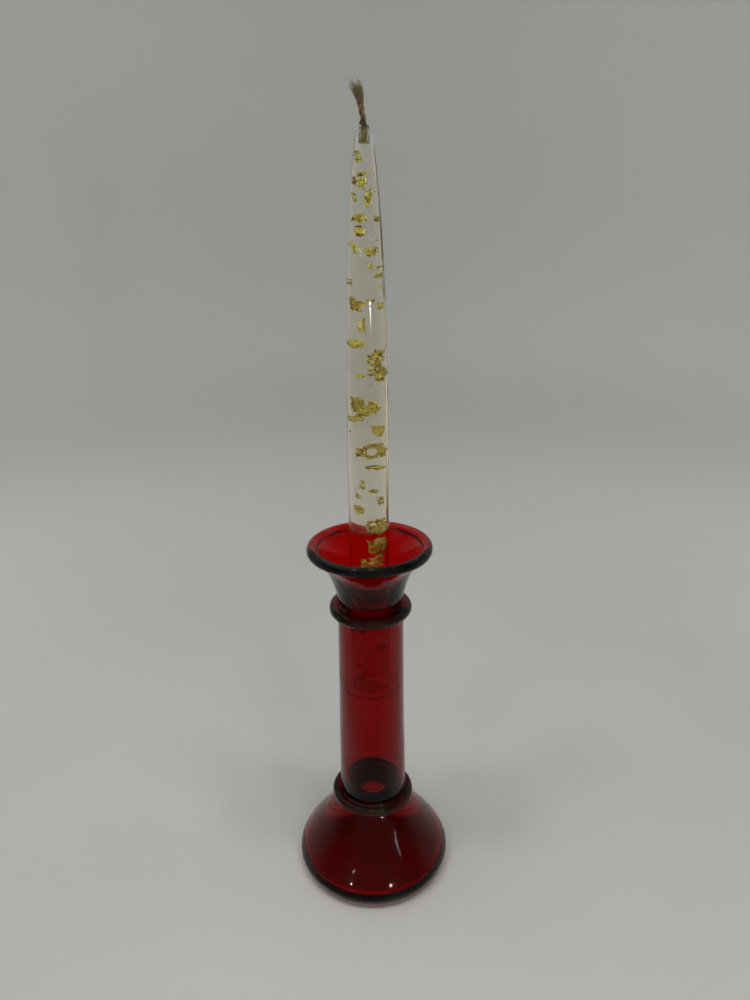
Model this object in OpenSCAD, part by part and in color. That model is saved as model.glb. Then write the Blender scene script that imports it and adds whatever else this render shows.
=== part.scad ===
// Unity candle: a clear cast taper with gold leaf, standing in a blown ruby glass candlestick.
// Millimetres, +Z up, origin on the axis at the foot's resting plane.

/* [Candlestick] */
// Height of the candlestick, to the crown of its lip
stick_h = 215.4; // [212:0.2:220]
// Radius to the middle of the lip bead
lip_r = 31.4; // [29:0.2:33]
// Radius of the lip bead itself
lip_bead_r = 2.85; // [2.4:0.05:3.2]
// Height of the neck, where the upper ring is wrapped
neck_z = 177; // [174:0.5:179]
// Height of the waist, where the lower ring is wrapped
waist_z = 50; // [48:0.5:52]
// Outer radius of the stem at the neck
stem_top_r = 18.4; // [17.8:0.1:19]
// Outer radius of the stem at the waist
stem_bottom_r = 19.7; // [19.2:0.1:20.4]
// Widest radius of the foot
foot_r = 46; // [43:0.5:49]
// Height of the foot's widest point
belly_z = 8.3; // [7.5:0.1:10]
// Thickness of the blown glass
wall = 3; // [2.6:0.1:3.4]

/* [Rings] */
// Radius of the glass thread wrapped round the neck
neck_thread_r = 3.15; // [2.8:0.05:3.4]
// Radius of the glass thread wrapped round the waist
waist_thread_r = 2.9; // [2.6:0.05:3.2]

/* [Candle] */
// Length of the taper, from its base to the top of its dome
candle_len = 291; // [285:1:297]
// Radius of the taper's base
candle_r = 10.8; // [10:0.05:10.9]
// Radius of the glass throat that the taper stands in
throat_r = 11.6; // [11.4:0.1:12]
// Height of the seat that the taper stands on
seat_z = 127; // [121:1:133]

/* [Wick] */
// Height of the wick above the taper
wick_h = 19.5; // [17:0.5:22]
// How far the tip of the wick leans to the left
wick_lean = 3.9; // [0:0.1:5]
// Depth of the hole that holds the wick
wick_hole_depth = 7; // [5:0.5:9]

/* [Gold leaf] */
// Thickness of a piece of leaf
leaf_thick = 0.15; // [0.1:0.01:0.25]

/* [Hidden] */
$fn = 96;

// Glass
lip_z = stick_h - lip_bead_r;
neck_thread_mid = stem_top_r + 1.5;
waist_thread_mid = stem_bottom_r + 1.8;
pinch_r = stem_top_r - 1.6;        // outside of the glass under the neck ring
waist_hole_r = 7;               // opening between the stem and the foot
rest_r = 37.3;                     // outer edge of the ring that the foot rests on
rest_inner_r = 33;                 // inner edge of that ring
kick_h = 6;                        // height of the push-up under the foot
floor_t = 3.4;                     // thickness of the foot's floor at the push-up
seat_t = 1.6;                      // thickness of the candle seat
seat_dish = 0.4;                   // how far the seat's underside bows down

// Taper
candle_top = seat_z + candle_len;
dome_r = 4.3;                      // radius where the dome meets the taper
dome_h = 4.1;                      // height of the dome
taper_len = 180;                   // length that tapers, below the dome's top
base_edge = 0.6;                   // bevel round the base

// Wick
wick_hole_r = 1.6;
glue_bore_r = 1.42;                // the hole that the glue leaves for the wick
glue_foot_r = 2.7;                 // spread of the glue on the dome
glue_h = 2.6;                      // rise of the glue above the dome
fray_h = 12.5;                     // height above the dome where the strands come apart
twist_pitch = 11;                  // rise of one turn of the strands
strand_sides = 12;
ring_step = 0.8;

// Each piece of leaf: [depth below the top of the taper, right, back, width, height, turn, tip].
LEAVES = [
    [12, -2.3, -0.8, 3.4, 5.4, 20, -18], [22, -1.4, -1.5, 6.9, 7.3, -15, -7],
    [29, -3.6, -1, 3.9, 7, 35, -31], [29, 0.9, -2, 3.9, 7.8, -10, -13],
    [38, -2.2, -2, 7.8, 4.5, 8, -40], [38, 3.8, 1.5, 3.7, 3.6, 30, -10],
    [44, -2, 1.5, 5.8, 5.7, -20, -17], [51, -3.8, 0.8, 4.8, 6.5, 25, -28],
    [52.5, 2.8, -2.5, 7.1, 5.7, -12, -4], [59, 1.8, -2, 2.3, 4.9, 40, -16],
    [59, 4.6, 1.5, 2.5, 5.2, -30, -34], [63.5, 4.6, -1.5, 5.1, 2.5, 12, -1],
    [68, 5.2, -0.5, 2.5, 5.2, -35, -19], [66, -5.6, 2.5, 3.7, 4.7, 30, -13],
    [77, -4.2, -2.5, 7.4, 7, 15, -34], [74.5, 1.6, -3, 3.7, 3.1, -10, 2],
    [77, 5, -0.5, 3, 3.6, 25, -28], [86, -1.5, -3, 4.6, 7.3, -18, -13],
    [95, -4.4, 0.4, 8, 5.2, 10, -9], [101, 3.6, -2.5, 7.4, 9.1, -22, -29],
    [110, 4, 1.5, 7.6, 6.8, 18, -10], [110.5, -1.8, -2.5, 5.1, 3.1, -8, -43],
    [122, -6.4, -4.6, 3, 3.4, 30, -16], [127, -0.9, -3.4, 12.9, 9.6, 6, -11],
    [133, -4.6, 2.2, 8, 3.9, -12, -4], [138, 4.2, -3, 6.2, 8.1, 20, -31],
    [150, 1.2, -1, 9.9, 9.4, -10, -9], [159, 1.8, 2.5, 6.4, 4.2, 14, -39],
    [167.5, -2.2, -2.5, 3.2, 6, 28, -17], [171, 2.6, -3.5, 4.4, 3.1, -15, -3],
    [174, -3.8, 1, 2.8, 4.9, 35, -29], [177, 3.6, -1, 5.1, 5.5, -20, -11],
    [181, -3.6, -1.5, 4.4, 6.2, 22, -37], [191, 4, -1, 10.1, 8.6, -14, -10],
    [201.5, 4, -3.5, 9.7, 13.8, 12, -28], [213.5, 1.2, -4, 9.7, 8.6, -8, -8],
    [237, 3.4, 3.2, 4.8, 4.4, 25, -13], [253, -3.6, 3, 5.3, 4.2, -20, -31],
    [266, 2.4, 4, 4.1, 3.9, 15, -4], [277, -5.2, -2.4, 3.9, 2.6, -25, -15],
    [284.5, -4.2, -3.4, 6, 4.4, 18, -34]
];
// Each speck: [depth below the top of the taper, right, back, size].
SPECKS = [
    [17, 2.4, 1, 2.2], [23, 4, 0.4, 2], [27, 3.9, -1, 1.8], [34, 2.2, -1.6, 1.8],
    [62, -3, 2, 2.4], [86, 5.6, 1.2, 2.2], [91, -6.4, 1.8, 2.2], [96.5, 7.2, 1, 1.8],
    [115.5, 2.8, 2.6, 2.2], [117, -1.2, 3.2, 2.2], [131, 7.4, -2, 1.8], [134.5, 0.2, 1, 1.8],
    [139, -7.6, -2.4, 2], [156.5, 6.8, 1.6, 2], [174.5, 6.9, -1.8, 1.8], [186.5, -3.4, 3.4, 2.4],
    [207, -5.2, 2.2, 1.8], [229, -4.6, -2.2, 1.6], [259, 5.4, -1.8, 1.6], [285, 4.6, 2.6, 1.8]
];

function two_digits(i) = str(i < 10 ? "0" : "", i);
function leaf_name(i) = str("gold_leaf_", two_digits(i + 1));

GLASS_NODES = ["foot_bulb", "waist_ring", "stem_tube", "candle_seat", "neck_ring", "candle_cup", "lip_bead"];
STRAND_COUNT = 3;
function strand_name(i) = str("wick_strand_", i + 1);

// A cubic curve from a to d, steered by b and c, in n steps.
function curve(a, b, c, d, n) = [
    for (i = [0 : n])
        let (t = i / n, s = 1 - t)
        s * s * s * a + 3 * s * s * t * b + 3 * s * t * t * c + t * t * t * d
];
function reversed(list) = [for (i = [len(list) - 1 : -1 : 0]) list[i]];

// ---- Glass outlines, as [radius, height] ----

function foot_outside() = concat(
    curve([stem_bottom_r, waist_z], [stem_bottom_r + 3.2, waist_z - 10.5],
          [foot_r, belly_z + 7.2], [foot_r, belly_z], 22),
    curve([foot_r, belly_z], [foot_r, belly_z - 5], [rest_r + 5.5, 0], [rest_r, 0], 8)
);
function foot_kick() = curve([rest_inner_r, 0], [rest_inner_r - 8, 0.2], [12, kick_h], [0, kick_h], 10);
function foot_inside() = concat(
    curve([0, kick_h + floor_t], [14, kick_h + floor_t], [24, 5], [foot_r - 12, 4.6], 12),
    curve([foot_r - 12, 4.6], [foot_r - 7, 4.3], [foot_r - 3.8, 7], [foot_r - 3.8, 11], 10),
    curve([foot_r - 3.8, 11], [foot_r - 3.8, 17.5], [waist_hole_r + 5, waist_z - 13],
          [waist_hole_r, waist_z], 20)
);
function stem_outside() = concat(
    [[stem_bottom_r, waist_z]],
    curve([stem_top_r, neck_z - 4], [stem_top_r - 0.1, neck_z - 2],
          [pinch_r, neck_z - 1.5], [pinch_r, neck_z], 6)
);
function stem_inside_r(z) =
    stem_bottom_r - wall + (stem_top_r - stem_bottom_r) * (z - waist_z) / (neck_z - 4 - waist_z);
function stem_inside() = concat(
    curve([throat_r, neck_z], [throat_r, neck_z - 4], [stem_inside_r(neck_z - 9), neck_z - 5],
          [stem_inside_r(neck_z - 10), neck_z - 10], 8),
    curve([stem_inside_r(waist_z + 11), waist_z + 11], [stem_inside_r(waist_z + 6), waist_z + 6],
          [waist_hole_r, waist_z + 8], [waist_hole_r, waist_z], 10)
);
function cup_outside() = concat(
    curve([pinch_r, neck_z], [pinch_r, neck_z + 1], [stem_top_r - 0.7, neck_z + 0.8],
          [stem_top_r - 0.6, neck_z + 3], 5),
    curve([stem_top_r - 0.6, neck_z + 3], [stem_top_r + 0.4, neck_z + 12.5],
          [lip_r - 8.7, lip_z - 8.7], [lip_r, lip_z - lip_bead_r * 0.9], 18)
);
function cup_inside() = concat(
    curve([lip_r - 0.2, lip_z + 2.4], [lip_r - 8.5, lip_z - 2], [throat_r + 3, neck_z + 15.5],
          [throat_r, neck_z + 6], 18),
    [[throat_r, neck_z]]
);

// Everything inside the outer surface of the foot, stem and cup, which the threads are wrapped on.
module glass_core() {
    polygon(concat([[0, 0]], reversed(foot_outside()), [[0, waist_z]]));
    polygon(concat([[0, waist_z]], stem_outside(), [[0, neck_z]]));
    polygon(concat([[0, neck_z]], cup_outside(), [[0, lip_z]]));
}

module thread(mid_r, z, r) {
    rotate_extrude() difference() {
        translate([mid_r, z]) circle(r);
        glass_core();
    }
}

// ---- Candlestick ----

module foot_bulb() {
    color("firebrick") rotate_extrude()
        polygon(concat(foot_outside(), foot_kick(), foot_inside()));
}

module stem_tube() {
    color("firebrick") rotate_extrude() polygon(concat(stem_outside(), stem_inside()));
}

module candle_cup() {
    color("firebrick") rotate_extrude() difference() {
        polygon(concat(cup_outside(), cup_inside()));
        translate([lip_r, lip_z]) circle(lip_bead_r);
    }
}

// The glass floor inside the stem that the taper's base stands on.
module candle_seat() {
    low = seat_z - seat_t;
    color("firebrick") rotate_extrude() polygon(concat(
        [[0, seat_z], [stem_inside_r(seat_z), seat_z], [stem_inside_r(low), low]],
        curve([stem_inside_r(low) - 2, low], [8, low - seat_dish], [4, low - seat_dish], [0, low - seat_dish], 6)
    ));
}

module waist_ring() {
    color("maroon") thread(waist_thread_mid, waist_z, waist_thread_r);
}

module neck_ring() {
    color("maroon") thread(neck_thread_mid, neck_z, neck_thread_r);
}

module lip_bead() {
    color("maroon") rotate_extrude() translate([lip_r, lip_z]) circle(lip_bead_r);
}

// ---- Candle ----

// Right-hand half of the taper's outline, with its height measured down from the top of the dome.
function taper_side() = concat(
    curve([0, 0], [dome_r * 0.68, 0], [dome_r - 0.2, 1.6], [dome_r, dome_h], 8),
    curve([dome_r, dome_h], [candle_r - 1, 49], [candle_r, 100], [candle_r, taper_len], 30),
    [[candle_r, candle_len - base_edge], [candle_r - base_edge, candle_len], [0, candle_len]]
);
function taper_outline() = [for (p = taper_side()) [p[0], candle_top - p[1]]];

module taper() {
    color("ghostwhite") difference() {
        rotate_extrude() polygon(taper_outline());
        translate([0, 0, candle_top - wick_hole_depth]) cylinder(r = wick_hole_r, h = wick_hole_depth + 1);
    }
}

// Clear glue that lines the wick's hole and climbs the foot of the wick.
module wick_glue() {
    bottom = candle_top - wick_hole_depth;
    color("wheat") difference() {
        union() {
            translate([0, 0, bottom]) cylinder(r = wick_hole_r, h = wick_hole_depth);
            rotate_extrude() difference() {
                polygon(concat(
                    [[0, candle_top - 1], [glue_foot_r, candle_top - 1]],
                    curve([glue_foot_r, candle_top - 0.8], [glue_foot_r - 0.8, candle_top],
                          [glue_bore_r + 0.4, candle_top + 0.8], [glue_bore_r + 0.25, candle_top + glue_h], 6),
                    [[0, candle_top + glue_h]]
                ));
                difference() {
                    polygon(taper_outline());
                    translate([0, bottom]) square([wick_hole_r, wick_hole_depth + 1]);
                }
            }
        }
        translate([0, 0, bottom - 1]) cylinder(r = glue_bore_r, h = wick_hole_depth + glue_h + 2);
    }
}

// The wick's centre line leans left as it rises: 0 in its hole, wick_lean at its tip.
function wick_x(z) = z <= candle_top ? 0 : -wick_lean * pow((z - candle_top) / wick_h, 1.4);
// How far the strands have loosened, from 0 at the glue to 1 where they fray.
function loose(z) = max(0, min(1, (z - candle_top - glue_h) / (fray_h - glue_h)));
function strand_r(z) = 0.56 + 0.22 * loose(z);
function lay_r(z) = 0.73 + 0.30 * loose(z);

function ring_at(x, y, z, r, n) = [for (k = [0 : n - 1]) [x + r * cos(360 * k / n), y + r * sin(360 * k / n), z]];

// Skins level rings of equal count, listed from the bottom up.
module stack(rings) {
    n = len(rings[0]);
    last = len(rings) - 1;
    polyhedron(
        points = [for (ring = rings) each ring],
        faces = concat(
            [[for (k = [0 : n - 1]) k]],
            [[for (k = [n - 1 : -1 : 0]) last * n + k]],
            [for (i = [0 : last - 1], k = [0 : n - 1])
                [i * n + k, (i + 1) * n + k, (i + 1) * n + (k + 1) % n]],
            [for (i = [0 : last - 1], k = [0 : n - 1])
                [i * n + k, (i + 1) * n + (k + 1) % n, i * n + (k + 1) % n]]
        )
    );
}

module wick_strand(i) {
    bottom = candle_top - wick_hole_depth;
    steps = round((wick_hole_depth + fray_h) / ring_step);
    color("peru") stack([
        for (s = [0 : steps])
            let (z = bottom + (wick_hole_depth + fray_h) * s / steps,
                 a = 360 * i / STRAND_COUNT + 360 * (z - bottom) / twist_pitch)
            ring_at(wick_x(z) + lay_r(z) * cos(a), lay_r(z) * sin(a), z, strand_r(z), strand_sides)
    ]);
}

// The frayed ends of the strands, as the space that they fill.
module wick_tuft() {
    sides = 20;
    steps = 6;
    color("burlywood") stack([
        for (s = [0 : steps])
            let (t = s / steps, z = candle_top + fray_h + (wick_h - fray_h) * t,
                 r = 1.9 + 1.0 * sin(90 * t))
            ring_at(wick_x(z), 0, z, r, sides)
    ]);
}

// ---- Gold leaf, cast into the taper ----

// A torn outline about w by h, different for each seed.
module torn_shape(w, h, seed) {
    corners = 11;
    reach = rands(0.62, 1, corners, seed);
    polygon([for (k = [0 : corners - 1])
        [w / 2 * reach[k] * cos(360 * k / corners), h / 2 * reach[k] * sin(360 * k / corners)]]);
}

module gold_leaf(i) {
    p = LEAVES[i];
    color("gold") translate([p[1], p[2], candle_top - p[0]]) rotate([90 + p[6], 0, p[5]])
        linear_extrude(leaf_thick, center = true) torn_shape(p[3], p[4], i + 1);
}

module gold_specks() {
    color("gold") for (i = [0 : len(SPECKS) - 1]) {
        p = SPECKS[i];
        translate([p[1], p[2], candle_top - p[0]]) rotate([60 + 47 * i, 0, 31 * i])
            linear_extrude(leaf_thick, center = true) torn_shape(p[3], p[3] * 0.6, 100 + i);
    }
}

foot_bulb();
waist_ring();
stem_tube();
candle_seat();
neck_ring();
candle_cup();
lip_bead();
taper();
wick_glue();
wick_tuft();
gold_specks();
for (i = [0 : STRAND_COUNT - 1]) wick_strand(i);
for (i = [0 : len(LEAVES) - 1]) gold_leaf(i);
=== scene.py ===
import math
import random

import bpy
import numpy as np
from mathutils import Matrix, Vector, noise


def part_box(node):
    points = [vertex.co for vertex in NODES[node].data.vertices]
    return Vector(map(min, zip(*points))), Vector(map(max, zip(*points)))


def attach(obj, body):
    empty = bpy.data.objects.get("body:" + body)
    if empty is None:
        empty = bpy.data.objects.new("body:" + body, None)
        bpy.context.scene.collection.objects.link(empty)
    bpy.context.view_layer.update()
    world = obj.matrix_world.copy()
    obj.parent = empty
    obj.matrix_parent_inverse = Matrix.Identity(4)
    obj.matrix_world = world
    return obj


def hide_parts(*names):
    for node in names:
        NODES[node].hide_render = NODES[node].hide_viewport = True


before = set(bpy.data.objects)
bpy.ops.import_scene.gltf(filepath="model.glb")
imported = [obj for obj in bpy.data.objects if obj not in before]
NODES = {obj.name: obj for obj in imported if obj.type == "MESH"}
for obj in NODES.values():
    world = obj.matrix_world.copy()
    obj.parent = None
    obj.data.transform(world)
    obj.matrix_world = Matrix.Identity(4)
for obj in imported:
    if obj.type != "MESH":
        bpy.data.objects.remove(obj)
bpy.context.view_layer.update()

MM = 0.001
STICK = "candlestick"
CANDLE = "candle"


# ---------------------------------------------------------------- measures, in mm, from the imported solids

def node_box(name):
    low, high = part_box(name)
    return [v / MM for v in low], [v / MM for v in high]


_, foot_high = node_box("foot_bulb")
bead_low, bead_high = node_box("lip_bead")
neck_low, neck_high = node_box("neck_ring")
waist_low, waist_high = node_box("waist_ring")
_, stem_high = node_box("stem_tube")
_, seat_high = node_box("candle_seat")
taper_low, taper_high = node_box("taper")
glue_low, _ = node_box("wick_glue")
tuft_low, tuft_high = node_box("wick_tuft")

FOOT_R = foot_high[0]
WAIST_Z = foot_high[2]
NECK_Z = stem_high[2]
BEAD_R = (bead_high[2] - bead_low[2]) / 2
LIP_R = bead_high[0] - BEAD_R
LIP_Z = bead_high[2] - BEAD_R
WAIST_THREAD = (waist_high[2] - waist_low[2]) / 2
NECK_THREAD = (neck_high[2] - neck_low[2]) / 2
WAIST_MID = waist_high[0] - WAIST_THREAD
NECK_MID = neck_high[0] - NECK_THREAD
STEM_LOW_R = stem_high[0]
STEM_TOP_R = NECK_MID - 1.5
SEAT_Z = seat_high[2]
TAPER_Z = taper_high[2]
TAPER_LEN = taper_high[2] - taper_low[2]
TAPER_R = taper_high[0]
HOLE_Z = glue_low[2]
WICK_TIP = tuft_high[2]
FRAY_Z = tuft_low[2]

BELLY_Z = 8.3                    # height of the foot's widest ring
BELLY_WALL = 3.8                 # from the foot's widest ring in to its hollow
WALL = 3.0                       # wall of the stem
WAIST_HOLE = 7.0                 # radius of the opening between the foot and the stem
THROAT_R = 11.6
PINCH_R = STEM_TOP_R - 1.6
REST_R = 37.3                    # the foot rests on the ring between these two radii
REST_INNER = 33.0
KICK = 6.0                       # height of the push-up under the foot
FLOOR_T = 3.4
SEAT_T = 0.6
AIR_FILM = 0.06                  # air between the candle's flat end and its seat
FUSE = 0.15                      # how far fused pieces of glass run into each other
STAGE_Z = -0.1                   # the stage lies just under the foot, so that they share no plane
DOME_R = 4.3
DOME_H = 4.1
WICK_HOLE = 1.6
WICK_LEAN = 3.9


# ---------------------------------------------------------------- meshes

def curve(a, b, c, d, n):
    """Points of the cubic curve from a to d, steered by b and c."""
    a, b, c, d = (np.array(p, float) for p in (a, b, c, d))
    t = np.linspace(0, 1, n + 1)[:, None]
    s = 1 - t
    return s ** 3 * a + 3 * s * s * t * b + 3 * s * t * t * c + t ** 3 * d


def make_object(name, points, faces, material, smooth=True):
    """A mesh object from points in mm."""
    mesh = bpy.data.meshes.new(name)
    mesh.from_pydata([tuple(p) for p in np.asarray(points, float) * MM], [], [tuple(f) for f in faces])
    mesh.validate()
    mesh.update()
    mesh.polygons.foreach_set("use_smooth", [smooth] * len(mesh.polygons))
    obj = bpy.data.objects.new(name, mesh)
    bpy.context.scene.collection.objects.link(obj)
    mesh.materials.append(material)
    return obj


def place(obj, body, slot, *nodes):
    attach(obj, body)
    if nodes:
        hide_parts(*nodes)
    return obj


def revolve(outline, sides, shift=None):
    """A closed solid of revolution. Where the outline starts and ends on the axis, its ends are poles.
    The outline runs anticlockwise round the solid's section, with the axis on its left."""
    outline = np.asarray(outline, float)
    keep = [0] + [i for i in range(1, len(outline)) if np.linalg.norm(outline[i] - outline[i - 1]) > 1e-4]
    outline = outline[keep]
    if np.linalg.norm(outline[0] - outline[-1]) < 1e-4:
        outline = outline[:-1]
    ang = np.linspace(0, 2 * math.pi, sides, endpoint=False)
    poles = outline[0][0] < 1e-6 and outline[-1][0] < 1e-6
    body = outline[1:-1] if poles else outline
    rows = len(body)
    r = np.repeat(body[:, 0][:, None], sides, 1)
    z = np.repeat(body[:, 1][:, None], sides, 1)
    a = np.repeat(ang[None, :], rows, 0)
    if shift:
        r, z = shift(r, z, a)
    points = np.stack([r * np.cos(a), r * np.sin(a), z], 2).reshape(-1, 3)
    faces = []
    for i in range(rows if not poles else rows - 1):
        j = (i + 1) % rows
        for k in range(sides):
            m = (k + 1) % sides
            faces.append((i * sides + k, i * sides + m, j * sides + m, j * sides + k))
    if poles:
        first, last = len(points), len(points) + 1
        points = np.vstack([points, [0, 0, outline[0][1]], [0, 0, outline[-1][1]]])
        end = (rows - 1) * sides
        for k in range(sides):
            m = (k + 1) % sides
            faces.append((first, m, k))
            faces.append((last, end + k, end + m))
    return points, faces


def outward(points, faces):
    """Turns every face over if the solid comes out inside out."""
    p = np.asarray(points)
    volume = 0.0
    for f in faces:
        for i in range(1, len(f) - 1):
            volume += np.dot(p[f[0]], np.cross(p[f[i]], p[f[i + 1]]))
    return faces if volume > 0 else [tuple(reversed(f)) for f in faces]


def lathe(name, outline, material, sides=160, shift=None):
    points, faces = revolve(outline, sides, shift)
    return make_object(name, points, outward(points, faces), material)


# ---------------------------------------------------------------- materials

def new_material(name):
    material = bpy.data.materials.new(name)
    material.use_nodes = True
    tree = material.node_tree
    if "Principled BSDF" in tree.nodes:
        shader = tree.nodes["Principled BSDF"]
    else:
        shader = tree.nodes.new("ShaderNodeBsdfPrincipled")
    return material, tree, shader


def coords(tree, scale=(1, 1, 1)):
    where = tree.nodes.new("ShaderNodeTexCoord")
    mapping = tree.nodes.new("ShaderNodeMapping")
    mapping.inputs["Scale"].default_value = scale
    tree.links.new(where.outputs["Object"], mapping.inputs["Vector"])
    return mapping.outputs["Vector"]


def noise_node(tree, vector, scale, detail=3, rough=0.5):
    n = tree.nodes.new("ShaderNodeTexNoise")
    n.inputs["Scale"].default_value = scale
    n.inputs["Detail"].default_value = detail
    n.inputs["Roughness"].default_value = rough
    tree.links.new(vector, n.inputs["Vector"])
    return n.outputs["Fac"]


def ramp(tree, value, stops):
    r = tree.nodes.new("ShaderNodeValToRGB")
    elements = r.color_ramp.elements
    while len(elements) < len(stops):
        elements.new(0.5)
    for e, (at, colour) in zip(elements, stops):
        e.position = at
        e.color = (*colour, 1)
    tree.links.new(value, r.inputs["Fac"])
    return r.outputs["Color"]


def span(tree, value, low, high):
    m = tree.nodes.new("ShaderNodeMapRange")
    m.inputs["To Min"].default_value = low
    m.inputs["To Max"].default_value = high
    tree.links.new(value, m.inputs["Value"])
    return m.outputs["Result"]


def bump(tree, shader, height, distance, strength=1.0):
    b = tree.nodes.new("ShaderNodeBump")
    b.inputs["Distance"].default_value = distance
    b.inputs["Strength"].default_value = strength
    tree.links.new(height, b.inputs["Height"])
    tree.links.new(b.outputs["Normal"], shader.inputs["Normal"])


def glass_material(name, absorb, density, ior, rough, ripple, ripple_scale,
                   stretch=(1, 1, 1), mirror=(1, 1, 1)):
    """Clear glass or resin, coloured by what its thickness absorbs, with faint ripples and smears."""
    material, tree, shader = new_material(name)
    shader.inputs["Base Color"].default_value = (1, 1, 1, 1)
    shader.inputs["Transmission Weight"].default_value = 1.0
    shader.inputs["IOR"].default_value = ior
    shader.inputs["Specular Tint"].default_value = (*mirror, 1)
    vector = coords(tree, stretch)
    tree.links.new(span(tree, noise_node(tree, vector, 60, 4), *rough), shader.inputs["Roughness"])
    bump(tree, shader, noise_node(tree, vector, ripple_scale, 2), ripple)
    volume = tree.nodes.new("ShaderNodeVolumeAbsorption")
    volume.inputs["Color"].default_value = (*absorb, 1)
    volume.inputs["Density"].default_value = density
    tree.links.new(volume.outputs["Volume"], tree.nodes["Material Output"].inputs["Volume"])
    return material


# One ruby glass copied in several strengths, one per part, each set until its part showed a chosen shade in
# this studio's light: the differences between the copies are painted light and shade. The threads' and lip's
# reflections are tinted green, a painted reflection colour for the greenish sheen at their sides.
ruby = glass_material("ruby_glass", (0.89, 0.0, 0.03), 1750, 1.52, (0.03, 0.045), 0.0004, 45,
                      mirror=(0.14, 0.14, 0.14))
foot_ruby = glass_material("foot_ruby_glass", (0.955, 0.0, 0.03), 1750, 1.52, (0.03, 0.045), 0.0004, 45,
                           mirror=(0.18, 0.18, 0.18))
cup_ruby = glass_material("cup_ruby_glass", (0.915, 0.0, 0.03), 1750, 1.52, (0.03, 0.045), 0.0004, 45,
                          mirror=(0.10, 0.10, 0.10))
lip_ruby = glass_material("lip_ruby_glass", (0.94, 0.0, 0.02), 1900, 1.52, (0.03, 0.05), 0.0004, 70,
                          mirror=(0.20, 0.30, 0.25))
ruby_painted_darker = glass_material("dark_ruby_glass", (0.86, 0.0, 0.02), 2000, 1.52, (0.03, 0.05), 0.0004, 70,
                           mirror=(0.20, 0.32, 0.26))
seat_ruby = glass_material("seat_ruby_glass", (0.97, 0.0, 0.03), 100, 1.52, (0.03, 0.04), 0.0004, 45,
                           mirror=(0.14, 0.14, 0.14))
resin = glass_material("clear_resin", (0.80, 0.72, 0.50), 36, 1.49, (0.03, 0.04), 0.0008, 80, (1, 1, 0.05),
                       mirror=(0.6, 0.6, 0.6))
glue = glass_material("clear_glue", (0.84, 0.74, 0.30), 240, 1.47, (0.02, 0.12), 0.0003, 500)


def gold_material():
    material, tree, shader = new_material("gold_leaf")
    shader.inputs["Metallic"].default_value = 1.0
    vector = coords(tree)
    # The leaf's colour runs in patches from dark olive to pale yellow: partly the leaf's own uneven tone,
    # partly painted shade and glints that give its crumples contrast.
    patch = noise_node(tree, vector, 700, 4, 0.7)
    tree.links.new(ramp(tree, patch, [(0.38, (0.16, 0.12, 0.02)), (0.46, (0.70, 0.62, 0.13)),
                                      (0.58, (1.0, 0.95, 0.40)), (0.68, (0.40, 0.38, 0.09))]),
                   shader.inputs["Base Color"])
    tree.links.new(span(tree, noise_node(tree, vector, 1100, 2), 0.06, 0.26), shader.inputs["Roughness"])
    bump(tree, shader, noise_node(tree, vector, 2800, 3, 0.7), 0.0003)
    return material


def wick_material(name, stops, low, high):
    """Plant fibre whose colour changes with height, from the stops between low and high (mm)."""
    material, tree, shader = new_material(name)
    vector = coords(tree)
    split = tree.nodes.new("ShaderNodeSeparateXYZ")
    tree.links.new(vector, split.inputs["Vector"])
    rise = tree.nodes.new("ShaderNodeMapRange")
    rise.inputs["From Min"].default_value = low * MM
    rise.inputs["From Max"].default_value = high * MM
    tree.links.new(split.outputs["Z"], rise.inputs["Value"])
    mix = tree.nodes.new("ShaderNodeMix")
    mix.data_type = "RGBA"
    mix.blend_type = "MULTIPLY"
    mix.inputs["Factor"].default_value = 0.8
    tree.links.new(ramp(tree, rise.outputs["Result"], stops), mix.inputs["A"])
    mottle = [(0.3, (0.45, 0.42, 0.38)), (0.7, (1.35, 1.3, 1.2))]
    tree.links.new(ramp(tree, noise_node(tree, vector, 1500, 4, 0.7), mottle), mix.inputs["B"])
    tree.links.new(mix.outputs["Result"], shader.inputs["Base Color"])
    tree.links.new(span(tree, noise_node(tree, vector, 700, 2), 0.6, 0.95), shader.inputs["Roughness"])
    shader.inputs["Sheen Weight"].default_value = 0.15
    return material


gold = gold_material()
TWINE_STOPS = [(0.0, (0.46, 0.37, 0.11)), (0.30, (0.46, 0.37, 0.12)), (0.36, (0.02, 0.014, 0.01)),
               (0.47, (0.035, 0.02, 0.012)), (0.56, (0.13, 0.07, 0.025)), (0.80, (0.20, 0.11, 0.045)),
               (1.0, (0.19, 0.12, 0.05))]
FRAYED_STOPS = [(0.0, (0.10, 0.055, 0.02)), (0.40, (0.14, 0.085, 0.03)), (0.72, (0.18, 0.15, 0.06)),
                (1.0, (0.28, 0.27, 0.16))]
twine = wick_material("wick_twine", TWINE_STOPS, HOLE_Z, FRAY_Z)
frayed = wick_material("frayed_fibre", FRAYED_STOPS, FRAY_Z - 3.2, WICK_TIP)


# ---------------------------------------------------------------- glass candlestick

def blown(r, z, a):
    """The slight unevenness of glass shaped by hand. It fades out at the plane that the foot rests on."""
    fade = np.clip(z / 12, 0, 1)
    push = (0.13 * np.sin(2 * a + 0.8 + z / 31) + 0.07 * np.sin(3 * a - 1.1 - z / 17)
            + 0.03 * np.sin(5 * a + z / 9))
    scale = np.clip(r / 14, 0, 1)
    return r + push * fade * scale, z


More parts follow.
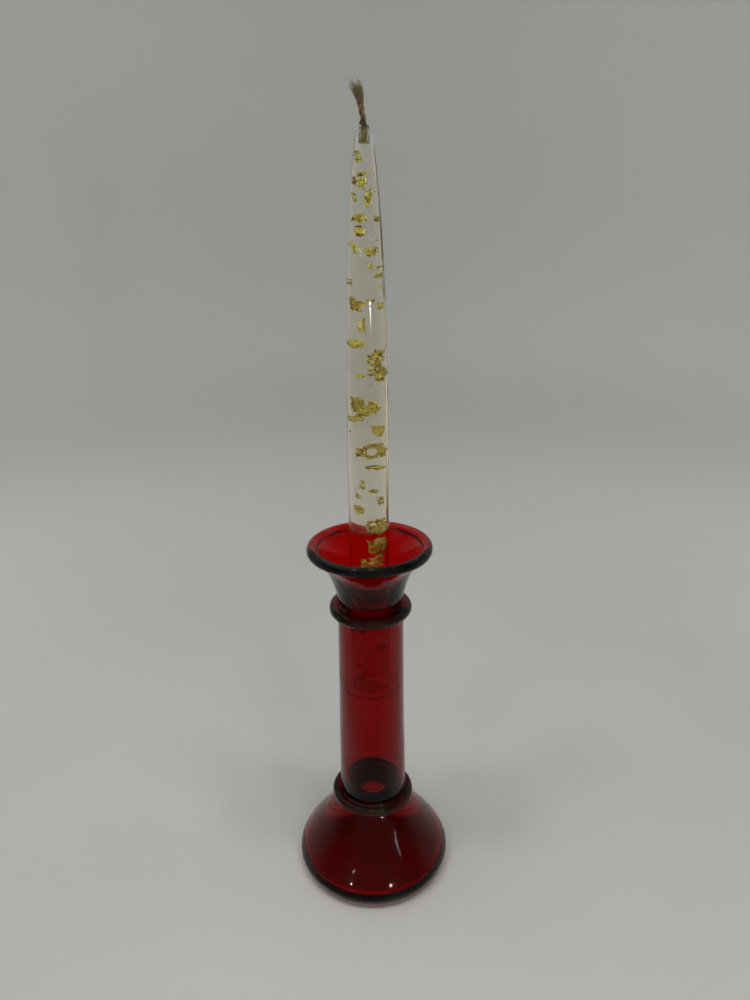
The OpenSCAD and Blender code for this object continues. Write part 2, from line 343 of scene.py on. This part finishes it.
FOOT_OUT = np.vstack([
    curve((STEM_LOW_R, WAIST_Z), (STEM_LOW_R + 3.2, WAIST_Z - 10.5),
          (FOOT_R, BELLY_Z + 7.2), (FOOT_R, BELLY_Z), 48),
    curve((FOOT_R, BELLY_Z), (FOOT_R, BELLY_Z - 5), (REST_R + 5.5, 0), (REST_R, 0), 20)])
FOOT_KICK = curve((REST_INNER, 0), (REST_INNER - 8, 0.2), (12, KICK), (0, KICK), 24)
FOOT_IN = np.vstack([
    curve((0, KICK + FLOOR_T), (14, KICK + FLOOR_T), (24, 5), (FOOT_R - 12, 4.6), 32),
    curve((FOOT_R - 12, 4.6), (FOOT_R - 7, 4.3), (FOOT_R - BELLY_WALL, 7), (FOOT_R - BELLY_WALL, 11), 24),
    curve((FOOT_R - BELLY_WALL, 11), (FOOT_R - BELLY_WALL, 17.5),
          (WAIST_HOLE + 5, WAIST_Z - 13), (WAIST_HOLE, WAIST_Z), 48)])


def stem_in(z):
    return STEM_LOW_R - WALL + (STEM_TOP_R - STEM_LOW_R) * (z - WAIST_Z) / (NECK_Z - 4 - WAIST_Z)


STEM_OUT = np.vstack([
    curve((STEM_LOW_R, WAIST_Z), (STEM_LOW_R, WAIST_Z + 30),
          (STEM_TOP_R + 0.3, NECK_Z - 40), (STEM_TOP_R, NECK_Z - 4), 40),
    curve((STEM_TOP_R, NECK_Z - 4), (STEM_TOP_R - 0.1, NECK_Z - 2),
          (PINCH_R, NECK_Z - 1.5), (PINCH_R, NECK_Z), 12)])
STEM_IN = np.vstack([
    curve((THROAT_R, NECK_Z), (THROAT_R, NECK_Z - 4), (stem_in(NECK_Z - 9), NECK_Z - 5),
          (stem_in(NECK_Z - 10), NECK_Z - 10), 16),
    [(stem_in(z), z) for z in np.linspace(NECK_Z - 10, WAIST_Z + 11, 30)],
    curve((stem_in(WAIST_Z + 11), WAIST_Z + 11), (stem_in(WAIST_Z + 6), WAIST_Z + 6),
          (WAIST_HOLE, WAIST_Z + 8), (WAIST_HOLE, WAIST_Z), 24)])
CUP_OUT = np.vstack([
    curve((PINCH_R, NECK_Z), (PINCH_R, NECK_Z + 1), (STEM_TOP_R - 0.7, NECK_Z + 0.8),
          (STEM_TOP_R - 0.6, NECK_Z + 3), 10),
    curve((STEM_TOP_R - 0.6, NECK_Z + 3), (STEM_TOP_R + 0.4, NECK_Z + 12.5), (LIP_R - 8.7, LIP_Z - 8.7),
          (LIP_R, LIP_Z - BEAD_R * 0.9), 48)])
CUP_IN = np.vstack([
    curve((LIP_R - 0.2, LIP_Z + 2.4), (LIP_R - 8.5, LIP_Z - 2), (THROAT_R + 3, NECK_Z + 15.5),
          (THROAT_R, NECK_Z + 6), 48),
    [(THROAT_R, NECK_Z)]])


def outside_circle(points, centre, radius):
    return [p for p in points if math.hypot(p[0] - centre[0], p[1] - centre[1]) > radius]


def arc_between(a, b, centre, radius, n):
    """The arc about centre from the direction of a to the direction of b, the short way round."""
    a0 = math.atan2(a[1] - centre[1], a[0] - centre[0])
    a1 = math.atan2(b[1] - centre[1], b[0] - centre[0])
    turn = (a1 - a0 + math.pi) % (2 * math.pi) - math.pi
    return [(centre[0] + radius * math.cos(a0 + turn * t), centre[1] + radius * math.sin(a0 + turn * t))
            for t in np.linspace(0, 1, n)]


def hollow_foot(name):
    """The foot's inner and outer walls both meet the axis, so its skins are two lathes joined at the top."""
    outer = np.vstack([FOOT_KICK[::-1], FOOT_OUT[::-1], [(STEM_LOW_R, WAIST_Z + FUSE)]])
    inner = np.vstack([FOOT_IN, [(WAIST_HOLE, WAIST_Z + FUSE)]])
    sides = 160
    ang = np.linspace(0, 2 * math.pi, sides, endpoint=False)
    points, faces = [], []

    def skin(line):
        start = len(points)
        points.append((0, 0, line[0][1]))
        previous = None
        for r, z in line[1:]:
            rr, zz = blown(np.full(sides, r), np.full(sides, z), ang)
            row = len(points)
            points.extend(zip(rr * np.cos(ang), rr * np.sin(ang), zz))
            for k in range(sides):
                m = (k + 1) % sides
                if previous is None:
                    faces.append((start, row + k, row + m))
                else:
                    faces.append((previous + k, row + k, row + m, previous + m))
            previous = row
        return previous

    a = skin(outer)
    outer_faces = len(faces)
    b = skin(inner)
    for i in range(outer_faces, len(faces)):
        faces[i] = tuple(reversed(faces[i]))
    for k in range(sides):
        m = (k + 1) % sides
        faces.append((a + k, b + k, b + m, a + m))
    points = np.array(points)
    return make_object(name, points, outward(points, faces), foot_ruby)


def wall_radius(z, above, below, z_joint):
    """Outer radius of the wall at height z, from the outlines above and below a joint."""
    line = above if z >= z_joint else below
    line = line[np.argsort(line[:, 1])]
    return float(np.interp(z, line[:, 1], line[:, 0]))


def thread(name, node, mid, z_mid, r, above, below, seed):
    """A glass thread wrapped round the wall: a round section that is drawn onto the wall at its edges."""
    reach = r + 0.55
    lean = [math.radians(d) for d in np.linspace(-128, 128, 40)]
    section = [(mid + r * math.cos(a), z_mid + r * math.sin(a)) for a in lean]
    section = [p for p in section if p[0] > wall_radius(p[1], above, below, z_mid) + 0.25]
    upper = wall_radius(z_mid + reach, above, below, z_mid)
    lower = wall_radius(z_mid - reach, above, below, z_mid)
    heights = np.linspace(z_mid + reach, z_mid - reach, 24)
    wall = [(wall_radius(z, above, below, z_mid) - FUSE, z) for z in heights]
    outline = [(lower + 0.02, z_mid - reach)] + section + [(upper + 0.02, z_mid + reach)] + wall
    rng = random.Random(seed)
    phase = [rng.uniform(0, 6.28) for _ in range(4)]

    def uneven(rr, zz, a):
        out = np.clip((rr - mid + r) / (2 * r), 0, 1)
        rr, zz = blown(rr, zz, a)
        thick = 0.16 * np.sin(a + phase[0]) + 0.10 * np.sin(3 * a + phase[1])
        drift = 0.30 * np.sin(a + phase[2]) + 0.12 * np.sin(2 * a + phase[3])
        return rr + thick * out, zz + (drift + (zz - z_mid) * thick / r) * out

    return place(lathe(name, outline, ruby_painted_darker, 160, uneven), STICK, "dark_ruby_glass", node)


place(hollow_foot("foot"), STICK, "ruby_glass", "foot_bulb")
place(lathe("stem", np.vstack([STEM_OUT, STEM_IN]), ruby, 160, blown), STICK, "ruby_glass", "stem_tube")

bead_centre = (LIP_R, LIP_Z)
cup_out = outside_circle(CUP_OUT, bead_centre, BEAD_R - FUSE)
cup_in = outside_circle(CUP_IN, bead_centre, BEAD_R - FUSE)
cup_edge = arc_between(cup_out[-1], cup_in[0], bead_centre, BEAD_R - FUSE, 12)
cup = np.vstack([[(PINCH_R, NECK_Z - FUSE)], cup_out, cup_edge, cup_in, [(THROAT_R, NECK_Z - FUSE)]])
place(lathe("cup", cup, cup_ruby, 192, blown), STICK, "ruby_glass", "candle_cup")

bead = [(LIP_R + BEAD_R * math.cos(a), LIP_Z + BEAD_R * math.sin(a))
        for a in np.linspace(0, 2 * math.pi, 49)[:-1]]


def bead_shift(r, z, a):
    rr, zz = blown(r, z, a)
    return rr, zz + 0.22 * np.sin(a + 2.1) + 0.1 * np.sin(3 * a)


place(lathe("lip", bead, lip_ruby, 192, bead_shift), STICK, "dark_ruby_glass", "lip_bead")

SEAT_TOP = SEAT_Z - AIR_FILM
seat = np.array([(0, SEAT_TOP), (stem_in(SEAT_Z) - 1, SEAT_TOP), (stem_in(SEAT_Z) + FUSE, SEAT_Z + 0.1),
                 (stem_in(SEAT_Z) + FUSE, SEAT_Z - SEAT_T), (stem_in(SEAT_Z) - 2, SEAT_Z - SEAT_T),
                 (8, SEAT_Z - SEAT_T - 0.4), (0, SEAT_Z - SEAT_T - 0.4)])
place(lathe("seat", seat, seat_ruby, 128, blown), STICK, "ruby_glass", "candle_seat")

thread("waist_thread", "waist_ring", WAIST_MID, WAIST_Z, WAIST_THREAD, STEM_OUT, FOOT_OUT, 5)
thread("neck_thread", "neck_ring", NECK_MID, NECK_Z, NECK_THREAD, CUP_OUT, STEM_OUT, 11)


# ---------------------------------------------------------------- resin taper, glue and wick

def taper_outline():
    edge = 0.5
    side = np.vstack([
        curve((DOME_R, DOME_H), (TAPER_R - 1, 49), (TAPER_R, 100), (TAPER_R, 180), 90),
        [(TAPER_R, s) for s in np.linspace(182, TAPER_LEN - 1, 40)],
        curve((TAPER_R, TAPER_LEN - edge), (TAPER_R, TAPER_LEN - 0.1), (TAPER_R - 0.1, TAPER_LEN),
              (TAPER_R - edge, TAPER_LEN), 6),
        [(0, TAPER_LEN)]])
    dome = curve((0, 0), (DOME_R * 0.68, 0), (DOME_R - 0.2, 1.6), (DOME_R, DOME_H), 28)
    dome = [p for p in dome if p[0] > WICK_HOLE + 0.05]
    depth = TAPER_Z - HOLE_Z
    hole = [(0, depth), (WICK_HOLE - 0.3, depth), (WICK_HOLE, depth - 0.3)]
    hole += [(WICK_HOLE, s) for s in np.linspace(depth - 1, 0.9, 6)]
    line = np.vstack([hole, dome, side])
    return np.array([(r, TAPER_Z - s) for r, s in line])


def cast(r, z, a):
    """Faint flutes and waves that the mould leaves along the taper."""
    fade = np.clip((r - 4) / 4, 0, 1)
    push = 0.07 * np.sin(5 * a + z / 90) + 0.08 * np.sin(11 * a - z / 140) + 0.03 * np.sin(a + z / 21)
    return r + push * fade, z


place(lathe("taper_body", taper_outline(), resin, 192, cast), CANDLE, "clear_resin", "taper")


def wick_x(z):
    z = np.asarray(z, float)
    return -WICK_LEAN * np.clip((z - TAPER_Z) / (WICK_TIP - TAPER_Z), 0, None) ** 1.4


def tube(points, radii, sides, start):
    """Vertices and faces of a capped tube along the points. Face numbers count from start."""
    points = np.asarray(points, float)
    along = np.gradient(points, axis=0)
    along /= np.linalg.norm(along, axis=1)[:, None]
    side = np.cross(along, (0.3, 1.0, 0.1))
    side /= np.linalg.norm(side, axis=1)[:, None]
    other = np.cross(along, side)
    ang = np.linspace(0, 2 * math.pi, sides, endpoint=False)
    rings = points[:, None] + np.asarray(radii)[:, None, None] * (
        np.cos(ang)[None, :, None] * side[:, None] + np.sin(ang)[None, :, None] * other[:, None])
    faces = []
    n = len(points)
    for i in range(n - 1):
        for k in range(sides):
            m = (k + 1) % sides
            row = start + i * sides
            faces.append((row + k, row + m, row + sides + m, row + sides + k))
    faces.append(tuple(start + k for k in reversed(range(sides))))
    faces.append(tuple(start + (n - 1) * sides + k for k in range(sides)))
    return rings.reshape(-1, 3), faces


class Bundle:
    """Many tubes gathered into one mesh."""

    def __init__(self):
        self.points, self.faces, self.count = [], [], 0

    def add(self, points, radii, sides):
        p, f = tube(points, radii, sides, self.count)
        self.points.append(p)
        self.faces.extend(f)
        self.count += len(p)

    def make(self, name, material):
        return make_object(name, np.vstack(self.points), self.faces, material)


STRANDS = 3
TWIST = 11.0


def strand_centre(z, i):
    """Middle of strand i at height z, and its distance from the wick's own middle."""
    loose = np.clip((z - TAPER_Z - 2.6) / 10, 0, 1)
    lay = 0.70 + 0.32 * loose
    a = 2 * math.pi * i / STRANDS + 2 * math.pi * (z - HOLE_Z) / TWIST
    return np.stack([wick_x(z) + lay * np.cos(a), lay * np.sin(a), z], -1), loose


for i in range(STRANDS):
    rng = random.Random(40 + i)
    bundle = Bundle()
    z = np.linspace(HOLE_Z + 0.4, FRAY_Z - 0.6, 46)
    middle, loose = strand_centre(z, i)
    bundle.add(middle, 0.40 + 0.10 * loose, 8)
    for f in range(13):
        spin = rng.uniform(0, 6.28)
        turn = 2 * math.pi / rng.uniform(6.0, 8.5)
        reach = rng.uniform(0.33, 0.46)
        stop = FRAY_Z + rng.uniform(-2.4, 0.8)
        zz = np.linspace(HOLE_Z + rng.uniform(0.2, 0.8), stop, 44)
        mid, ease = strand_centre(zz, i)
        a = spin - turn * (zz - HOLE_Z)
        wide = reach + 0.14 * ease
        path = mid + np.stack([wide * np.cos(a), wide * np.sin(a), 0 * a], -1)
        bundle.add(path, np.full(len(zz), rng.uniform(0.10, 0.17)), 5)
    place(bundle.make("wick_yarn_%d" % (i + 1), twine), CANDLE, "wick_twine", "wick_strand_%d" % (i + 1))


def frayed_end():
    rng = random.Random(7)
    bundle = Bundle()
    low = FRAY_Z - 3.2
    for f in range(130):
        a = rng.uniform(0, 2 * math.pi)
        start = 1.25 * math.sqrt(rng.random())
        flare = start + rng.uniform(0.3, 1.9) * (0.4 + start / 1.25)
        rise = (WICK_TIP - low) * (rng.uniform(0.62, 0.98) if f % 5 else rng.uniform(0.3, 0.62))
        t = np.linspace(0, 1, 14)
        z = low + rise * t
        r = start + (flare - start) * t ** 1.5
        bend = rng.uniform(-0.7, 0.7)
        x = wick_x(z) + r * np.cos(a + bend * t) + rng.uniform(-0.25, 0.25) * np.sin(3 * t + f)
        y = r * np.sin(a + bend * t) + rng.uniform(-0.2, 0.2) * np.sin(4 * t + f)
        thick = rng.uniform(0.14, 0.28)
        bundle.add(np.stack([x, y, z], -1), thick * (1 - 0.65 * t), 5)
    return bundle.make("wick_fray", frayed)


place(frayed_end(), CANDLE, "frayed_fibre", "wick_tuft")


def glue_bead():
    """Glue that fills the wick's hole and climbs the wick in uneven lobes."""
    fit = 0.05
    top = TAPER_Z + 2.7
    outline = np.vstack([
        [(0, HOLE_Z - fit), (WICK_HOLE - 0.35, HOLE_Z - fit)],
        [(WICK_HOLE + fit, HOLE_Z + 0.3), (WICK_HOLE + fit, TAPER_Z - 0.9)],
        curve((WICK_HOLE + 0.2, TAPER_Z - 0.45), (2.6, TAPER_Z - 0.45), (2.75, TAPER_Z - 0.3),
              (2.45, TAPER_Z + 0.05), 6),
        curve((2.45, TAPER_Z + 0.05), (1.9, TAPER_Z + 0.35), (1.75, TAPER_Z + 1.6), (1.7, top - 0.5), 10),
        curve((1.7, top - 0.5), (1.6, top), (1.2, top), (0, top - 0.1), 6)])

    def lobes(r, z, a):
        up = np.clip((z - TAPER_Z) / 1.2, 0, 1)
        swell = 1 + up * (0.16 * np.sin(2 * a + 0.4) + 0.09 * np.sin(5 * a + 1.7 * z))
        return r * swell, z + up * 0.35 * np.sin(2 * a + 1.0) * np.clip(r / 1.5, 0, 1)

    return lathe("glue_bead", outline, glue, 48, lobes)


place(glue_bead(), CANDLE, "clear_glue", "wick_glue")


# ---------------------------------------------------------------- gold leaf

PLATES = {1, 7, 19, 25, 28}
LACE = {2, 6, 36}
HOLED = {27}
CURLED = {9, 33, 35}


def noise3(p, seed):
    return noise.noise(Vector((p[0], p[1], seed * 7.31)))


TAPER_SIDE = taper_outline()
TAPER_SIDE = TAPER_SIDE[TAPER_SIDE[:, 0] > 2]
TAPER_SIDE = TAPER_SIDE[np.argsort(TAPER_SIDE[:, 1])]


def taper_radius(z):
    return float(np.interp(z, TAPER_SIDE[:, 1], TAPER_SIDE[:, 0]))


def inside_resin(p):
    """p, drawn in towards the axis where it would come within half a millimetre of the taper's surface."""
    r = math.hypot(p[0], p[1])
    most = taper_radius(p[2]) - 0.5
    if r > most:
        p = p * np.array([most / r, most / r, 1])
    return p


def leaf_sheet(centre, along, up, out, width, height, style, seed, cell=0.3):
    """A torn, crumpled scrap of leaf: its grid of points and the quads of its largest connected piece, one
    side only.
    """
    rng = random.Random(seed)
    nu = max(6, int(width / cell))
    nv = max(6, int(height / cell))
    folds = []
    count = 3 if style == "plate" else 9
    for _ in range(count):
        a = rng.uniform(0, math.pi)
        folds.append((math.cos(a), math.sin(a), rng.uniform(-0.7, 0.7), rng.uniform(-1, 1)))
    depth = min(width, height) * (0.06 if style == "plate" else 0.26)
    crinkle = 0.30 if style == "plate" else 0.66
    holes = {"lace": 0.32, "holed": 0.60, "plate": 9}.get(style, 0.52)
    grid = {}
    for i in range(nu + 1):
        for j in range(nv + 1):
            u, v = 2 * i / nu - 1, 2 * j / nv - 1
            r = math.hypot(u, v)
            a = math.atan2(v, u)
            edge = 0.90 + 0.30 * noise3((1.6 * math.cos(a), 1.6 * math.sin(a)), seed)
            edge += 0.32 * noise3((5 * u, 5 * v), seed + 3)
            if r > edge:
                continue
            if noise3((3.4 * u, 3.4 * v), seed + 5) > holes and r > 0.15:
                continue
            if style == "holed" and r < 0.30 + 0.12 * noise3((2 * u, 2 * v), seed):
                continue
            h = sum(k * abs(u * c + v * s - d) for c, s, d, k in folds) / math.sqrt(count)
            h += 0.5 * noise3((4.2 * u, 4.2 * v), seed + 9) * (0.3 if style == "plate" else 1)
            bow = 0.35 * height * (u * u - 0.4) if style == "curl" else 0.10 * height * u * u
            slip_u = 0.5 * cell * noise3((5 * u, 5 * v), seed + 13)
            slip_v = 0.5 * cell * noise3((5 * v, 5 * u), seed + 17)
            ridge = 1 - 2 * abs(noise3((0.75 * u * width / 2, 0.75 * v * height / 2), seed + 21)) ** 0.7
            ridge += 0.55 * noise3((2.1 * u * width / 2, 2.1 * v * height / 2), seed + 25)
            flat = centre + along * (u * width / 2 + slip_u) + up * (v * height / 2 + slip_v)
            grid[i, j] = inside_resin(flat + out * (h * depth + bow + crinkle * ridge))
    quads = [(i, j) for i in range(nu) for j in range(nv)
             if all(k in grid for k in ((i, j), (i + 1, j), (i + 1, j + 1), (i, j + 1)))]
    return grid, largest_patch(quads)


def largest_patch(quads):
    """The biggest set of quads that share edges, so that no stray face is left."""
    left = set(quads)
    best = []
    while left:
        stack = [left.pop()]
        patch = []
        while stack:
            i, j = stack.pop()
            patch.append((i, j))
            for n in ((i + 1, j), (i - 1, j), (i, j + 1), (i, j - 1)):
                if n in left:
                    left.remove(n)
                    stack.append(n)
        if len(patch) > len(best):
            best = patch
    return sorted(best)


LEAF_THICK = 0.05
LEAF_GROWTH = 1.32               # a torn sheet covers less than its flat CAD solid, so it is drawn wider


def thicken(grid, quads, out, points, faces):
    """Adds the patch to points and faces as a closed sheet."""
    used = sorted({c for i, j in quads for c in ((i, j), (i + 1, j), (i + 1, j + 1), (i, j + 1))})
    front = {c: len(points) + n for n, c in enumerate(used)}
    points.extend(grid[c] + out * LEAF_THICK / 2 for c in used)
    back = {c: len(points) + n for n, c in enumerate(used)}
    points.extend(grid[c] - out * LEAF_THICK / 2 for c in used)
    edges = {}
    for i, j in quads:
        ring = [(i, j), (i + 1, j), (i + 1, j + 1), (i, j + 1)]
        a, b, c, d = ring
        if (i + j) % 2:
            faces.extend([(front[a], front[b], front[c]), (front[a], front[c], front[d])])
            faces.extend([(back[a], back[c], back[b]), (back[a], back[d], back[c])])
        else:
            faces.extend([(front[a], front[b], front[d]), (front[b], front[c], front[d])])
            faces.extend([(back[a], back[d], back[b]), (back[b], back[d], back[c])])
        for p, q in zip(ring, ring[1:] + ring[:1]):
            if (q, p) in edges:
                del edges[q, p]
            else:
                edges[p, q] = True
    for p, q in edges:
        faces.append((front[q], front[p], back[p], back[q]))


def solid_frame(points):
    """Middle, directions and sizes of a flat CAD solid, longest first."""
    points = np.asarray(points, float)
    middle = (points.max(0) + points.min(0)) / 2
    _, _, axes = np.linalg.svd(points - points.mean(0), full_matrices=False)
    size = [np.ptp(points @ a) for a in axes]
    return middle, axes, size


def node_points(name):
    return np.array([v.co for v in NODES[name].data.vertices], float) / MM


leaf_names = sorted(n for n in NODES if n.startswith("gold_leaf_"))
for name in leaf_names:
    number = int(name[-2:])
    middle, axes, size = solid_frame(node_points(name))
    style = "plate" if number in PLATES else "lace" if number in LACE else "holed" if number in HOLED else \
        "curl" if number in CURLED else "crumple"
    grid, quads = leaf_sheet(middle, axes[0], axes[1], axes[2],
                             size[0] * LEAF_GROWTH, size[1] * LEAF_GROWTH, style, number)
    points, faces = [], []
    thicken(grid, quads, axes[2], points, faces)
    sheet = make_object("leaf_%02d" % number, points, outward(points, faces), gold, smooth=False)
    place(sheet, CANDLE, "gold_leaf", name)


def loose_parts(name):
    """Vertex groups of a CAD node's separate solids."""
    mesh = NODES[name].data
    where = {}
    key = [tuple(round(c, 7) for c in v.co) for v in mesh.vertices]
    parent = list(range(len(key)))

    def root(i):
        while parent[i] != i:
            parent[i] = parent[parent[i]]
            i = parent[i]
        return i

    for i, k in enumerate(key):
        if k in where:
            parent[root(i)] = root(where[k])
        where[k] = i
    for e in mesh.edges:
        parent[root(e.vertices[0])] = root(e.vertices[1])
    groups = {}
    for i in range(len(key)):
        groups.setdefault(root(i), []).append(mesh.vertices[i].co)
    return [np.array(g, float) / MM for g in groups.values()]


def specks():
    points, faces = [], []
    rng = random.Random(23)
    places = []
    for group in sorted(loose_parts("gold_specks"), key=lambda g: g[:, 2].mean()):
        middle, axes, size = solid_frame(group)
        places.append((middle, axes, size[0], size[1]))
    for _ in range(46):
        z = rng.uniform(TAPER_Z - TAPER_LEN + 6, TAPER_Z - 22)
        a = rng.uniform(0, 2 * math.pi)
        r = (taper_radius(z) - 1.6) * math.sqrt(rng.random())
        u, v, w = (rng.uniform(-1, 1) for _ in range(3))
        axes = np.linalg.qr(np.array([[u, v, w], [v, -w, u], [w, u, -v]]) + 0.1 * np.eye(3))[0]
        size = rng.uniform(0.4, 0.95)
        middle = np.array([r * math.cos(a), r * math.sin(a), z])
        places.append((middle, axes, size, size * rng.uniform(0.5, 1)))
    for n, (middle, axes, width, height) in enumerate(places):
        grid, quads = leaf_sheet(middle, axes[0], axes[1], axes[2], width, height, "crumple", 200 + n, 0.2)
        if quads:
            thicken(grid, quads, axes[2], points, faces)
    return make_object("flakes", points, outward(points, faces), gold, smooth=False)


place(specks(), CANDLE, "gold_leaf", "gold_specks")


# ---------------------------------------------------------------- camera, stage and light

CAMERA_AT = (14.05, -371.6, 382.4)
CAMERA_TURN = (-1.68, 20.93, -0.62)          # degrees: yaw, downward pitch and roll
CAMERA_LENS = 27.04


def add_camera():
    """Looks slightly down at the candle from in front, a little to the right."""
    yaw, pitch, roll = (math.radians(d) for d in CAMERA_TURN)
    look = Vector((math.sin(yaw) * math.cos(pitch), math.cos(yaw) * math.cos(pitch), -math.sin(pitch)))
    right = Vector((math.cos(yaw), -math.sin(yaw), 0))
    up = right.cross(look)
    right_rolled = right * math.cos(roll) + up * math.sin(roll)
    up_rolled = up * math.cos(roll) - right * math.sin(roll)
    data = bpy.data.cameras.new("camera")
    data.sensor_fit = "VERTICAL"
    data.sensor_height = 36
    data.lens = CAMERA_LENS
    data.clip_start = 0.01
    camera = bpy.data.objects.new("camera", data)
    turn = Matrix((right_rolled, up_rolled, -look)).transposed().to_4x4()
    camera.matrix_world = Matrix.Translation(Vector(CAMERA_AT) * MM) @ turn
    bpy.context.scene.collection.objects.link(camera)
    bpy.context.scene.camera = camera


def add_light(name, size, at, aim, power, colour):
    data = bpy.data.lights.new(name, "AREA")
    data.shape = "RECTANGLE"
    data.size, data.size_y = size
    data.energy = power
    data.color = colour
    light = bpy.data.objects.new(name, data)
    light.location = at
    light.rotation_euler = (Vector(aim) - Vector(at)).to_track_quat("-Z", "Y").to_euler()
    light.visible_camera = False
    bpy.context.scene.collection.objects.link(light)


def add_stage():
    """A plain pale floor that curves up into a wall all round. The wall has soft bands of painted light and
    shade, darker and lighter by direction, in place of studio flags.
    """
    material, tree, shader = new_material("pale_stage")
    where = coords(tree)
    tone = ramp(tree, noise_node(tree, where, 2.5, 2),
                [(0.3, (0.49, 0.485, 0.47)), (0.7, (0.53, 0.525, 0.51))])
    turn = tree.nodes.new("ShaderNodeTexGradient")
    turn.gradient_type = "RADIAL"
    tree.links.new(where, turn.inputs["Vector"])
    # Painted light and shade: the far wall is darker and lighter by direction round the object.
    painted_bands = ramp(tree, turn.outputs["Fac"], [(at, (0.86 * v, 0.86 * v, 0.84 * v)) for at, v in WALL_PAINTED_LIGHT_AND_SHADE])
    reach = tree.nodes.new("ShaderNodeVectorMath")
    reach.operation = "LENGTH"
    tree.links.new(where, reach.inputs[0])
    far = tree.nodes.new("ShaderNodeMapRange")
    far.interpolation_type = "SMOOTHSTEP"
    far.inputs["From Min"].default_value = 0.32
    far.inputs["From Max"].default_value = 0.75
    tree.links.new(reach.outputs["Value"], far.inputs["Value"])
    wall = tree.nodes.new("ShaderNodeMix")
    wall.data_type = "RGBA"
    tree.links.new(far.outputs["Result"], wall.inputs["Factor"])
    tree.links.new(tone, wall.inputs["A"])
    tree.links.new(painted_bands, wall.inputs["B"])
    tree.links.new(wall.outputs["Result"], shader.inputs["Base Color"])
    shader.inputs["Roughness"].default_value = 0.8
    shader.inputs["Specular IOR Level"].default_value = 0.1
    line = np.vstack([[(0, STAGE_Z)], [(r, STAGE_Z) for r in (60, 200, 500, 900)],
                      curve((1000, STAGE_Z), (1400, STAGE_Z), (1500, 100), (1500, 500), 20),
                      [(1500, 900), (1500, 1300)]])
    sides = 96
    ang = np.linspace(0, 2 * math.pi, sides, endpoint=False)
    points = [(0, 0, STAGE_Z)] + [(r * math.cos(a), r * math.sin(a), z) for r, z in line[1:] for a in ang]
    faces = [(0, 1 + k, 1 + (k + 1) % sides) for k in range(sides)]
    for i in range(len(line) - 2):
        for k in range(sides):
            a, b = 1 + i * sides + k, 1 + i * sides + (k + 1) % sides
            faces.append((a, a + sides, b + sides, b))
    make_object("stage", points, faces, material)


def add_world():
    """A soft overhead sky of uneven brightness, like a studio with several diffusers."""
    world = bpy.data.worlds.new("world")
    world.use_nodes = True
    tree = world.node_tree
    where = tree.nodes.new("ShaderNodeTexCoord")
    glow = ramp(tree, noise_node(tree, where.outputs["Generated"], 3.4, 1),
                [(0.40, (0.10, 0.11, 0.12)), (0.60, (1.30, 1.36, 1.38))])
    tree.links.new(glow, tree.nodes["Background"].inputs["Color"])
    tree.nodes["Background"].inputs["Strength"].default_value = 0.62
    bpy.context.scene.world = world


# Painted light and shade on the wall: its brightness by direction round the object, from 0 to 1. 0.25 is
# straight behind it. The bands stand to the sides, where the front view does not show them.
WALL_PAINTED_LIGHT_AND_SHADE = [(0.0, 0.9), (0.06, 0.35), (0.10, 0.5), (0.14, 1.0), (0.36, 1.0), (0.40, 0.45),
              (0.44, 0.35), (0.50, 0.9), (0.62, 0.7), (0.75, 0.6), (0.88, 0.7), (1.0, 0.9)]

add_camera()
add_stage()
add_world()
aim = (0, 0, 0.2)
add_light("key", (0.8, 0.8), (-0.7, 0.1, 1.45), aim, 1.6, (1.0, 0.97, 0.92))
for n, x in enumerate((-0.42, 0.02, 0.40)):
    add_light("ceiling_%d" % n, (0.16, 0.16), (x, -0.25, 1.45), aim, 2.6, (1.0, 0.96, 0.9))
add_light("window", (0.08, 0.06), (0.47, -1.01, 0.28), aim, 1.8, (1.0, 0.97, 0.92))
add_light("lamp_left", (0.04, 0.02), (-0.51, -0.93, 0.43), aim, 0.2, (1.0, 0.95, 0.88))
add_light("lamp_low", (0.05, 0.03), (-0.56, -0.97, 0.24), aim, 0.6, (1.0, 0.95, 0.88))
add_light("lamp_right", (0.04, 0.02), (0.78, -0.69, 0.46), aim, 0.12, (0.90, 0.95, 1.0))

scene = bpy.context.scene
scene.view_settings.view_transform = "Standard"
scene.cycles.max_bounces = 24
scene.cycles.transmission_bounces = 24
scene.cycles.glossy_bounces = 12
scene.cycles.diffuse_bounces = 4
scene.cycles.use_denoising = True
